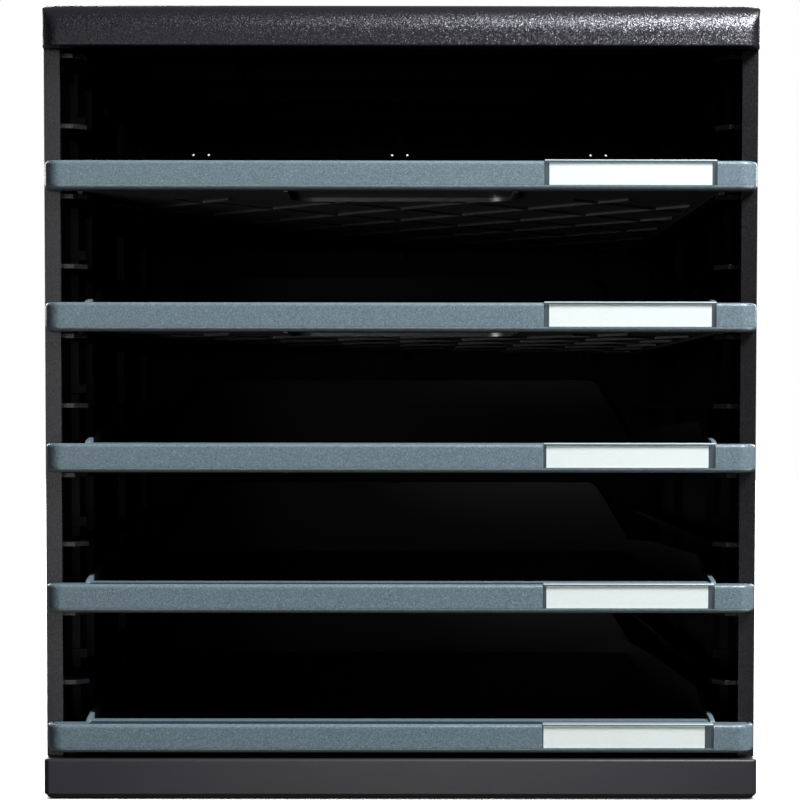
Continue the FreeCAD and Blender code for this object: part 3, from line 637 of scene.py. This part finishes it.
def grained(name, dark, light, grain, height, roughness, spread, specular=0.5, tilt=0.0, tint="#ffffff"):
    """Moulded plastic: a colour that varies between two near shades in soft patches, and an even grain of bumps
    that also changes the roughness from grain to grain. A coarse grain has facets as well."""
    material, tree, shader, place = finish(name)
    fine = add(tree, "ShaderNodeTexNoise", {"Vector": place, "Scale": per_metre(grain), "Detail": 2.0,
                                            "Roughness": 0.6})
    soft = add(tree, "ShaderNodeTexNoise", {"Vector": place, "Scale": per_metre(PATCH), "Detail": 3.0})
    shade = add(tree, "ShaderNodeMix", {"Factor": soft.outputs["Fac"], "A": paint(dark), "B": paint(light)},
                data_type="RGBA")
    tree.links.new(shade.outputs["Result"], shader.inputs["Base Color"])
    gloss = add(tree, "ShaderNodeMapRange", {"Value": fine.outputs["Fac"], "From Min": 0.3, "From Max": 0.7,
                                             "To Min": roughness - spread, "To Max": roughness + spread})
    tree.links.new(gloss.outputs["Result"], shader.inputs["Roughness"])
    bump = add(tree, "ShaderNodeBump", {"Height": fine.outputs["Fac"], "Strength": 1.0, "Distance": height * MM})
    if tilt:
        tree.links.new(tilted(tree, place, grain, tilt), bump.inputs["Normal"])
    tree.links.new(bump.outputs["Normal"], shader.inputs["Normal"])
    shader.inputs["IOR"].default_value = 1.54
    shader.inputs["Specular IOR Level"].default_value = specular
    shader.inputs["Specular Tint"].default_value = paint(tint)
    return material


# %% [markdown]
# One moulding often has more than one finish: a matt top, painted shade on its inner faces, or painted light on
# some outer faces and edges. The faces of a mesh can each take one of several materials, so a second finish needs no
# second piece. A test on the place of each face's centre picks them.


# %% Second finishes
def second_finish(item, material, test):
    """A further finish on the faces whose centres, in millimetres from the drawer fronts, pass a test."""
    faces = item.data.polygons
    centre = np.empty(3 * len(faces))
    faces.foreach_get("center", centre)
    x, y, z = (centre.reshape(-1, 3) / MM - (0, FACE, 0)).T
    chosen = test(np.abs(x), y, z)
    index = np.empty(len(faces), np.int32)
    faces.foreach_get("material_index", index)
    item.data.materials.append(material)
    index[chosen] = len(item.data.materials) - 1
    faces.foreach_set("material_index", index)
    print(item.name, "has", material.name, "on", int(chosen.sum()), "faces")


# %% Finishes of the cover and the casing
# the cover's nose and edges
black_abs = grained("moulded ABS, black, spark eroded", "#08080c", "#0d0d13", 0.3, 0.012, 0.34, 0.04,
                    specular=0.9, tilt=0.18, tint="#f4f4ff")
# the cover's flat top
top_abs = grained("moulded ABS, black, matt top", "#1a1a1e", "#222227", 0.6, 0.03, 0.8, 0.05, specular=0.1)
# the narrow front strips of the side walls
charcoal_abs = grained("moulded ABS, charcoal, etched", "#0d0d11", "#131317", 0.6, 0.03, 0.29, 0.05)
# the plinth; and the outer faces of the side walls, where this grey, paler than the walls' strips, is painted light
plinth_abs = grained("moulded ABS, dark grey, etched", "#222126", "#2a282e", 0.6, 0.03, 0.42, 0.05)
# painted shade: a darker black on everything that only shows through the gaps between the drawers
shade_inside_abs = grained("moulded ABS, black, inner side in painted shade", "#030303", "#050505", 0.8, 0.02, 0.45, 0.05, specular=0.1)
# the back
back_sheet = grained("moulded polystyrene, black, satin", "#070707", "#0a0a0a", 0.8, 0.02, 0.55, 0.05, specular=0.3)
NEAR = 0.1  # millimetres that a face's centre may be off

wear([cover], black_abs)
second_finish(cover, top_abs, lambda x, y, z: z > TOP - NEAR / 2)
# painted shade on the cover's inner side and its ribs
second_finish(cover, shade_inside_abs, lambda x, y, z: (z < TOP - COVER_SKIN + NEAR) & (x < COVER_HALF - COVER_SKIN + NEAR)
              & (y > NOSE + NOSE_WALL - SUNK - NEAR))
# painted shade on the side wall: its inner face, the rear of its front strip, the strip's own inner edge and the
# rails' first millimetres, whose noses keep the strip's finish
WALL_INSIDE, STRIP_BACK, NOSE_BACK, NOSE_SIDE, WALL_OUTSIDE, STRIP_FACE = 141.9, 11.1, 19.2, 138, 144.4, 1
wear(side_walls, charcoal_abs)
for wall in side_walls:
    second_finish(wall, shade_inside_abs, lambda x, y, z: (x < WALL_INSIDE) & (y > STRIP_BACK)
                  & ((y > NOSE_BACK) | (x > NOSE_SIDE)))
    # painted light: the outer faces of the side walls take the plinth's paler grey
    second_finish(wall, plinth_abs, lambda x, y, z: (x > WALL_OUTSIDE) & (y > STRIP_FACE))
wear([plinth], plinth_abs)
wear([back], back_sheet)

# %% Finishes of the trays
tray_black = grained("moulded polystyrene, black", "#070708", "#0b0b0c", 0.8, 0.02, 0.4, 0.06, specular=0.3)
# painted shade: a dark grey-blue on the tray's lip in the bar's channel, and on the floor of the label's seat,
# where the grey-blue moulding lies in shade
channel_shade_grey = grained("moulded polystyrene, grey-blue in painted shade", "#24323b", "#2b3a44", 0.8, 0.02, 0.5, 0.05, specular=0.3)
wear(trays, tray_black)
for k, tray in zip(DRAWERS, trays):
    second_finish(tray, channel_shade_grey, lambda x, y, z: (y < LEDGE_FRONT) & (z > FLOORS[k] + CHANNEL_FLOOR - NEAR))

# %% [markdown]
# ### Moulded ABS with metal flake
#
# The fronts are grey-blue ABS with aluminium flakes stirred into the melt. Most flakes lie near the skin and
# show as points that are a little lighter or darker than the plastic. Real flakes are about a tenth of a
# millimetre; they are drawn at a third of a millimetre so that they show. A band on the lower round of each bar
# takes the same flakes in much paler shades: that is a painted highlight.

# %% Plastic with flakes
FACET = 0.3  # millimetres: the grain's facets on the fronts
UNEVEN = 0.06  # how much the roughness varies from grain to grain


def flaked(name, dark, middle, light, flake, roughness, tilt):
    """Plastic with flakes: a cell pattern picks each flake's shade, and a fine grain breaks up the gloss."""
    material, tree, shader, place = finish(name)
    cells = add(tree, "ShaderNodeTexVoronoi", {"Vector": place, "Scale": per_metre(flake)})
    ramp = add(tree, "ShaderNodeValToRGB")
    split = add(tree, "ShaderNodeSeparateColor", {"Color": cells.outputs["Color"]})
    tree.links.new(split.outputs["Red"], ramp.inputs["Fac"])
    stops = ramp.color_ramp.elements
    stops[0].position, stops[0].color = 0.0, paint(dark)
    stops[1].position, stops[1].color = 1.0, paint(light)
    for where in (0.25, 0.75):
        stops.new(where).color = paint(middle)
    tree.links.new(ramp.outputs["Color"], shader.inputs["Base Color"])
    fine = add(tree, "ShaderNodeTexNoise", {"Vector": place, "Scale": per_metre(flake), "Detail": 2.0})
    gloss = add(tree, "ShaderNodeMapRange", {"Value": fine.outputs["Fac"], "From Min": 0.3, "From Max": 0.7,
                                             "To Min": roughness - UNEVEN, "To Max": roughness + UNEVEN})
    tree.links.new(gloss.outputs["Result"], shader.inputs["Roughness"])
    bump = add(tree, "ShaderNodeBump", {"Height": fine.outputs["Fac"], "Strength": 1.0, "Distance": 0.01 * MM,
                                        "Normal": tilted(tree, place, FACET, tilt)})
    tree.links.new(bump.outputs["Normal"], shader.inputs["Normal"])
    shader.inputs["IOR"].default_value = 1.54
    return material


# %% Finishes of the fronts
grey_abs = flaked("moulded ABS, grey-blue with metal flake", "#505f68", "#63747d", "#798b95", 0.35, 0.33, 0.1)
wear(fronts, grey_abs)
# a paler copy of the fronts' flaked ABS, which paints a highlight along each bar's lower round
lower_edge_highlight_abs = flaked("moulded ABS, grey-blue, painted highlight on lower edge", "#8a9ba3", "#9cacb4", "#afbec5", 0.35, 0.33, 0.1)
LOWER_HIGHLIGHT_FROM, LOWER_HIGHLIGHT_TO = 0.1, 1.6  # millimetres above the bar's underside
for k, front in zip(DRAWERS, fronts):
    # painted shade on the floor of the label's seat, behind the window
    second_finish(front, channel_shade_grey, lambda x, y, z: np.abs(y - SEAT_DEEP) < NEAR / 2)
    # painted highlight on the lower round of the bar
    second_finish(front, lower_edge_highlight_abs, lambda x, y, z: (z > FLOORS[k] + LOWER_HIGHLIGHT_FROM) & (z < FLOORS[k] + LOWER_HIGHLIGHT_TO)
                  & (y < LOW_ROUND))

# %% [markdown]
# ### Clear polycarbonate, card and rubber
#
# The windows are injection-moulded polycarbonate. Light has to reach the card behind them, so the plate is a mix
# of a see-through shader and a glossy one, weighted by Fresnel's law: that is quicker than refraction and lets the
# lamps through. The plate's upper front edge takes a pale second finish, which is a painted highlight. The card is
# uncoated paper board, matt with faint fibres. The feet are dull rubber.


# %% Clear plastic
def clear_plastic(name, tint, ior):
    """See-through plastic: transparent where it faces the viewer, glossy where Fresnel's law says it reflects."""
    material, tree, shader, place = finish(name)
    output = next(node for node in tree.nodes if node.type == "OUTPUT_MATERIAL")
    shader.inputs["Base Color"].default_value = paint("#e8f4f8")
    shader.inputs["Roughness"].default_value = 0.12
    shader.inputs["IOR"].default_value = ior
    ripple = add(tree, "ShaderNodeTexNoise", {"Vector": place, "Scale": per_metre(12), "Detail": 1.0})
    bump = add(tree, "ShaderNodeBump", {"Height": ripple.outputs["Fac"], "Strength": 0.3, "Distance": 0.05 * MM})
    tree.links.new(bump.outputs["Normal"], shader.inputs["Normal"])
    through = add(tree, "ShaderNodeBsdfTransparent", {"Color": paint(tint)})
    edge = add(tree, "ShaderNodeFresnel", {"IOR": ior, "Normal": bump.outputs["Normal"]})
    inside = add(tree, "ShaderNodeNewGeometry").outputs["Backfacing"]
    outside = add(tree, "ShaderNodeMath", {0: 1.0, 1: inside}, operation="SUBTRACT")
    weight = add(tree, "ShaderNodeMath", {0: edge.outputs["Fac"], 1: outside.outputs["Value"]}, operation="MULTIPLY")
    mix = add(tree, "ShaderNodeMixShader", {0: weight.outputs["Value"], 1: through.outputs["BSDF"],
                                            2: shader.outputs["BSDF"]})
    tree.links.new(mix.outputs["Shader"], output.inputs["Surface"])
    return material


# %% Paper and rubber
STRETCH = (1, 1, 2.5)  # fibres lie level


def fibrous(name, dark, light, fibre, roughness):
    """Paper or rubber: two near shades mixed by a stretched noise, which also lifts the surface a little."""
    material, tree, shader, place = finish(name)
    turned_place = add(tree, "ShaderNodeMapping", {"Vector": place, "Scale": STRETCH})
    fibres = add(tree, "ShaderNodeTexNoise", {"Vector": turned_place.outputs["Vector"], "Scale": per_metre(fibre),
                                              "Detail": 3.0})
    shade = add(tree, "ShaderNodeMix", {"Factor": fibres.outputs["Fac"], "A": paint(dark), "B": paint(light)},
                data_type="RGBA")
    tree.links.new(shade.outputs["Result"], shader.inputs["Base Color"])
    bump = add(tree, "ShaderNodeBump", {"Height": fibres.outputs["Fac"], "Strength": 0.5, "Distance": 0.02 * MM})
    tree.links.new(bump.outputs["Normal"], shader.inputs["Normal"])
    shader.inputs["Roughness"].default_value = roughness
    return material


# %% Finishes of the windows, cards and feet
EDGE_LOW, EDGE_BACK = 11.4, 0.9  # millimetres: the window's upper front edge
wear(windows, clear_plastic("moulded polycarbonate, clear", "#fdffff", 1.58))
# a pale finish for the window's upper front edge: a painted highlight
window_edge_highlight = grained("moulded polycarbonate, edge with painted highlight", "#8da1a7", "#9fb2b7", 0.8, 0.01, 0.3, 0.05)
for k, window in zip(DRAWERS, windows):
    # painted highlight on the window's upper front edge
    second_finish(window, window_edge_highlight, lambda x, y, z: (z > FLOORS[k] + EDGE_LOW) & (y < EDGE_BACK))
wear(cards, fibrous("uncoated card, white", "#cfd1d0", "#dadbda", 1.2, 0.8))
wear([item for item in bpy.data.objects if item.name.endswith("_pad")],
     fibrous("moulded rubber, black", "#0e0e0e", "#161616", 0.9, 0.75))
print("materials:", sorted(material.name for material in bpy.data.materials if material.users))

# %% [markdown]
# ## Floor
#
# The object stands on a plain pale table. It is a wide, flat disc worked out as rings. A plane would do as well,
# but a round rim lies at the same distance whichever way the camera looks. The table is seen by the camera only:
# a studio keeps its floor from throwing light back with black cloth, and here its ray visibility does that.

# %% Floor
RINGS = np.array([0.5, 1.5, 3.8])[:, None]  # metres
angle = np.linspace(0, 2 * np.pi, 64, endpoint=False)
disc = np.stack([RINGS * np.cos(angle), RINGS * np.sin(angle), np.zeros((len(RINGS), len(angle)))], axis=-1)
floor_mesh = bpy.data.meshes.new("table")
corners, faces = shell(disc, around=True, ends=False)
floor_mesh.from_pydata(corners.tolist(), [], faces + [list(range(len(angle)))])
floor = bpy.data.objects.new("table", floor_mesh)
bpy.context.scene.collection.objects.link(floor)
table, tree, shader, place = finish("painted table, white")
MOTTLE = 3.0  # patches per metre
mottle = add(tree, "ShaderNodeTexNoise", {"Vector": place, "Scale": MOTTLE, "Detail": 2.0})
tone = add(tree, "ShaderNodeMix", {"Factor": mottle.outputs["Fac"], "A": paint("#f2f2f2"), "B": paint("#f7f7f7")},
           data_type="RGBA")
tree.links.new(tone.outputs["Result"], shader.inputs["Base Color"])
shader.inputs["Roughness"].default_value = 0.6
wear([floor], table)
floor.visible_diffuse = floor.visible_glossy = False

# %% [markdown]
# ## Light
#
# A soft box high on the right is the key: it draws the long highlight on the cover and lights the fronts. Weak
# soft boxes around it do one small job each, and light linking lets a lamp shine on chosen pieces only, as a flag
# or a snoot does in a studio. Two large ones behind the object light its back, sides and top. The table has a lamp
# of its own, straight above and wide enough for soft shadows, so the others can't darken or burn it.

# %% Soft boxes
MIDDLE = (0, -0.15, 0.16)


def soft_box(name, place, target, size, power, spread):
    """A rectangular area light at a place that looks at a target, both in metres, with its beam in degrees."""
    data = bpy.data.lights.new(name, "AREA")
    data.shape = "RECTANGLE"
    data.size, data.size_y = size
    data.energy = power
    data.spread = math.radians(spread)
    lamp = bpy.data.objects.new(name, data)
    bpy.context.scene.collection.objects.link(lamp)
    facing = np.array(target, float) - place
    yaw = math.atan2(-facing[0], facing[1])
    pitch = math.atan2(math.hypot(facing[0], facing[1]), -facing[2])
    lamp.location = place
    lamp.rotation_euler = (pitch, 0, yaw)
    return lamp


def receivers(name, pieces, state="INCLUDE"):
    """A collection for light linking: its lamps shine on these pieces only, or on everything but them."""
    linked = bpy.data.collections.new(name)
    for place, item in enumerate(pieces):
        linked.objects.link(item)
        linked.collection_objects[place].light_linking.link_state = state
    return linked


# %% Lamps
not_table = receivers("everything but the table", [floor], "EXCLUDE")
lattice = receivers("trays, for the lattice under them", trays)
strip = receivers("left wall, for its front strip", side_walls[:1])
lowest = receivers("lowest parts and cards, lit by what a pale table gives back", side_walls + [plinth] + cards)
nose = receivers("cover, for the lower half of its nose", [cover])
table_top = receivers("table, lit from straight above", [floor])
# name, place, target, size, watts, spread in degrees, and what the lamp shines on
LAMPS = [("key", (0.55, -0.7, 0.95), (0.05, -0.17, 0.2), (0.35, 0.42), 27.5, 180, not_table),
         ("left", (-0.42, -1.3, 0.2), MIDDLE, (0.3, 0.7), 0.8, 180, not_table),
         ("front", (0.8, -1.25, 0.1), MIDDLE, (0.4, 0.4), 0.5, 180, not_table),
         ("low", (0.4, -0.7, 0.02), (0.05, -0.15, 0.27), (0.3, 0.2), 0.06, 180, not_table),
         ("under", (-0.5, -0.75, 0.03), (-0.05, -0.15, 0.27), (0.3, 0.2), 2.2, 50, lattice),
         ("side", (-0.1, -0.5, 0.18), (-0.14, -0.17, 0.18), (0.06, 0.5), 0.36, 180, strip),
         ("table glow", (0.02, -0.45, 0.01), (0, -0.17, 0.05), (0.24, 0.08), 0.14, 180, lowest),
         ("nose", (0.6, -1.1, 0.55), (0.1, -0.17, 0.31), (0.25, 0.25), 0.65, 180, nose),
         ("back left", (-1.0, 2.0, 0.9), MIDDLE, (1.2, 1.2), 40, 180, not_table),
         ("back right", (1.0, 2.0, 0.9), MIDDLE, (1.2, 1.2), 40, 180, not_table),
         ("floor lamp", (0, 0, 1.2), (0, 0.0001, 0), (8, 8), 640, 120, table_top)]
for name, place, target, size, power, spread, linked in LAMPS:
    soft_box(name, place, target, size, power, spread).light_linking.receiver_collection = linked
print("lamps:", [lamp[0] for lamp in LAMPS])

# %% [markdown]
# The surroundings are a plain sky that is dim in front and brighter behind, so the open gaps between the drawers
# stay dark while the cover's top edge shows. The camera itself sees white.

# %% Surroundings
SKY_FRONT, SKY_BACK = 0.03, 0.15
world = bpy.data.worlds.new("studio")
bpy.context.scene.world = world
world.use_nodes = True
tree = world.node_tree
tree.nodes.clear()
looking = add(tree, "ShaderNodeTexCoord").outputs["Generated"]
axes = add(tree, "ShaderNodeSeparateXYZ", {"Vector": looking})
depth = add(tree, "ShaderNodeMapRange", {"Value": axes.outputs["Y"], "From Min": -0.3, "From Max": 0.5,
                                         "To Min": SKY_FRONT, "To Max": SKY_BACK})
seen = add(tree, "ShaderNodeLightPath").outputs["Is Camera Ray"]
light = add(tree, "ShaderNodeMix", {"Factor": seen, "A": depth.outputs["Result"], "B": 1.0}, data_type="FLOAT")
glow = add(tree, "ShaderNodeBackground", {"Color": (1, 1, 1, 1), "Strength": light.outputs["Result"]})
add(tree, "ShaderNodeOutputWorld", {"Surface": glow.outputs["Background"]})
bpy.context.scene.view_settings.view_transform = "Standard"

# %% [markdown]
# ## Camera
#
# A long lens from about a metre away, near the middle of the stack, looks almost straight at the front. It is
# tilted down by only two degrees, so upright edges stay almost upright, and the lens shift does the rest of the
# framing.

# %% Camera
TILT, ROLL, YAW = 2.151, -0.058, -0.113  # degrees
eye = bpy.data.cameras.new("camera")
eye.sensor_width = 36.0
eye.lens = 93.557
eye.shift_y = 0.110
eye.clip_start, eye.clip_end = 0.05, 60
camera = bpy.data.objects.new("camera", eye)
bpy.context.scene.collection.objects.link(camera)
camera.location = (-0.00203, -1.01185, 0.15838)
camera.rotation_mode = "XYZ"
camera.rotation_euler = (math.radians(90 - TILT), math.radians(ROLL), math.radians(YAW))
bpy.context.scene.camera = camera
